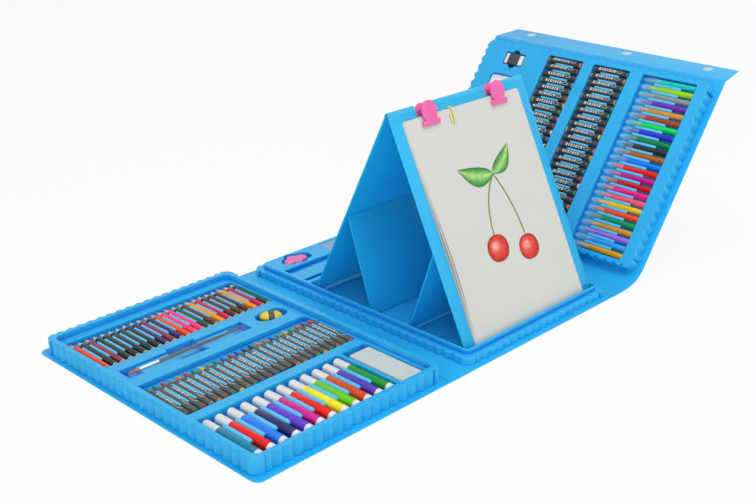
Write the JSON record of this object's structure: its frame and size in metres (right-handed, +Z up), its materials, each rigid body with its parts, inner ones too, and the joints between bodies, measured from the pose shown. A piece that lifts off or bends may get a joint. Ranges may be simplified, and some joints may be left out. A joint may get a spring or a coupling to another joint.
{
  "type": "folding art supply case",
  "caption": "Folding three-panel plastic art case with moulded trays of pencils, crayons, markers, pens and pastels and a fold-out easel holding clipped paper.",
  "frame": {"origin": "on the table under the centre of the middle panel", "axes": "+X along the row of panels towards the wing that is tipped up, +Y towards the back, +Z up"},
  "size_m": [0.8869, 0.4, 0.2776],
  "materials": {
    "case_sheet": "satin",
    "tray_blue": "satin",
    "easel_blue": "satin",
    "hook_and_loop": "matt",
    "painted_wood": "painted",
    "pencil_core": "matt",
    "wrapped_wax": "matt",
    "marker_barrel": "gloss",
    "white_plastic": "satin",
    "black_paint": "painted",
    "ferrule": "bright",
    "bristle": "matt",
    "yellow_plastic": "gloss",
    "dark_plastic": "matt",
    "foam": "open cells",
    "wrapped_pastel": "matt",
    "pen_barrel": "gloss",
    "clear_plastic": "clear",
    "white_rubber": "matt",
    "grey_paper": "matt",
    "pink_rubber": "matt",
    "drawing_paper": "matt",
    "gold_wire": "bright",
    "pink_plastic": "satin",
    "spring_steel": "plain"
  },
  "bodies": {
    "middle_panel": {"middle_cover": "case_sheet", "middle_tray": "tray_blue", "recess_floor": "tray_blue", "cloud_eraser": "pink_rubber", "clear_clip_box": "clear_plastic"},
    "left_spine_panel": {"left_spine": "case_sheet", "spine_dots": "hook_and_loop"},
    "left_wing": {"left_cover": "case_sheet", "left_tray": "tray_blue", "colour_pencils": "painted_wood", "pencil_leads": "pencil_core", "wax_crayons": "wrapped_wax", "marker_barrels": "marker_barrel", "marker_caps": "white_plastic", "marker_end_plugs": "white_plastic", "brush_handle": "black_paint", "brush_ferrule": "ferrule", "brush_bristles": "bristle", "egg_sharpener": "yellow_plastic", "egg_sharpener_band": "dark_plastic", "sponge": "foam"},
    "right_spine_panel": {"right_spine": "case_sheet"},
    "right_wing": {"right_cover": "case_sheet", "right_tray": "tray_blue", "oil_pastels_far": "wrapped_pastel", "oil_pastels_near": "wrapped_pastel", "pen_barrels": "pen_barrel", "pen_caps": "clear_plastic", "eraser": "white_rubber", "eraser_sleeve": "grey_paper", "white_palette": "white_plastic"},
    "flap": {"closing_flap": "case_sheet", "flap_dots": "hook_and_loop"},
    "easel_front": {"easel_front_board": "easel_blue", "paper_pad": "drawing_paper", "paper_clip": "gold_wire", "left_clip_rear_lever": "pink_plastic", "left_clip_pin": "spring_steel", "left_clip_spring": "spring_steel", "right_clip_rear_lever": "pink_plastic", "right_clip_pin": "spring_steel", "right_clip_spring": "spring_steel"},
    "easel_back": {"easel_back_board": "easel_blue"},
    "front_strut": {"easel_front_strut": "easel_blue"},
    "back_strut": {"easel_back_strut": "easel_blue"},
    "left_clip_lever": {"left_clip_front_lever": "pink_plastic"},
    "right_clip_lever": {"right_clip_front_lever": "pink_plastic"}
  },
  "joints": [
    {"name": "left_spine_fold", "type": "hinge", "parent": "middle_panel", "child": "left_spine_panel", "pos_m": [-0.1435, 0, 0.00075], "axis": [0, 1, 0], "range_deg": [0, 45]},
    {"name": "left_panel_fold", "type": "hinge", "parent": "left_spine_panel", "child": "left_wing", "pos_m": [-0.1775, 0, 0.00075], "axis": [0, 1, 0], "range_deg": [0, 45]},
    {"name": "right_spine_lift", "type": "hinge", "parent": "middle_panel", "child": "right_spine_panel", "pos_m": [0.1435, 0, 0.00075], "axis": [0, -1, 0], "range_deg": [-6.2, 5]},
    {"name": "right_panel_fold", "type": "hinge", "parent": "right_spine_panel", "child": "right_wing", "pos_m": [0.20206, 0, 0.00794], "axis": [0, -1, 0], "range_deg": [-40, 32]},
    {"name": "flap_fold", "type": "hinge", "parent": "right_wing", "child": "flap", "pos_m": [0.37757, 0, 0.24255], "axis": [0, -1, 0], "range_deg": [0, 135]},
    {"name": "easel_close", "type": "hinge", "parent": "middle_panel", "child": "easel_front", "pos_m": [0, -0.1774, 0.0033], "axis": [1, 0, 0], "range_deg": [0, 16]},
    {"name": "easel_ridge_fold", "type": "hinge", "parent": "easel_front", "child": "easel_back", "pos_m": [0, -0.04697, 0.27013], "axis": [1, 0, 0], "range_deg": [-32, 0]},
    {"name": "front_strut_fold", "type": "hinge", "parent": "easel_front", "child": "front_strut", "pos_m": [0, -0.12015, 0.11747], "axis": [1, 0, 0], "range_deg": [-40, 0]},
    {"name": "back_strut_fold", "type": "hinge", "parent": "easel_back", "child": "back_strut", "pos_m": [0, 0.02255, 0.12494], "axis": [1, 0, 0], "range_deg": [0, 40]},
    {"name": "left_clip_open", "type": "hinge", "parent": "easel_front", "child": "left_clip_lever", "pos_m": [-0.0615, -0.05151, 0.26494], "axis": [-1, 0, 0], "range_deg": [0, 15], "stiffness_Nm_per_rad": 0.25, "springref_deg": -11.46},
    {"name": "right_clip_open", "type": "hinge", "parent": "easel_front", "child": "right_clip_lever", "pos_m": [0.0647, -0.05151, 0.26494], "axis": [-1, 0, 0], "range_deg": [0, 15], "stiffness_Nm_per_rad": 0.25, "springref_deg": -11.46}
  ],
  "couplings": [
    {"joint": "left_panel_fold", "follows": "left_spine_fold", "ratio": 1},
    {"joint": "right_spine_lift", "follows": "right_panel_fold", "ratio": 0.15},
    {"joint": "easel_ridge_fold", "follows": "easel_close", "ratio": -2},
    {"joint": "front_strut_fold", "follows": "easel_close", "ratio": -2.5},
    {"joint": "back_strut_fold", "follows": "easel_close", "ratio": 2.5}
  ]
}
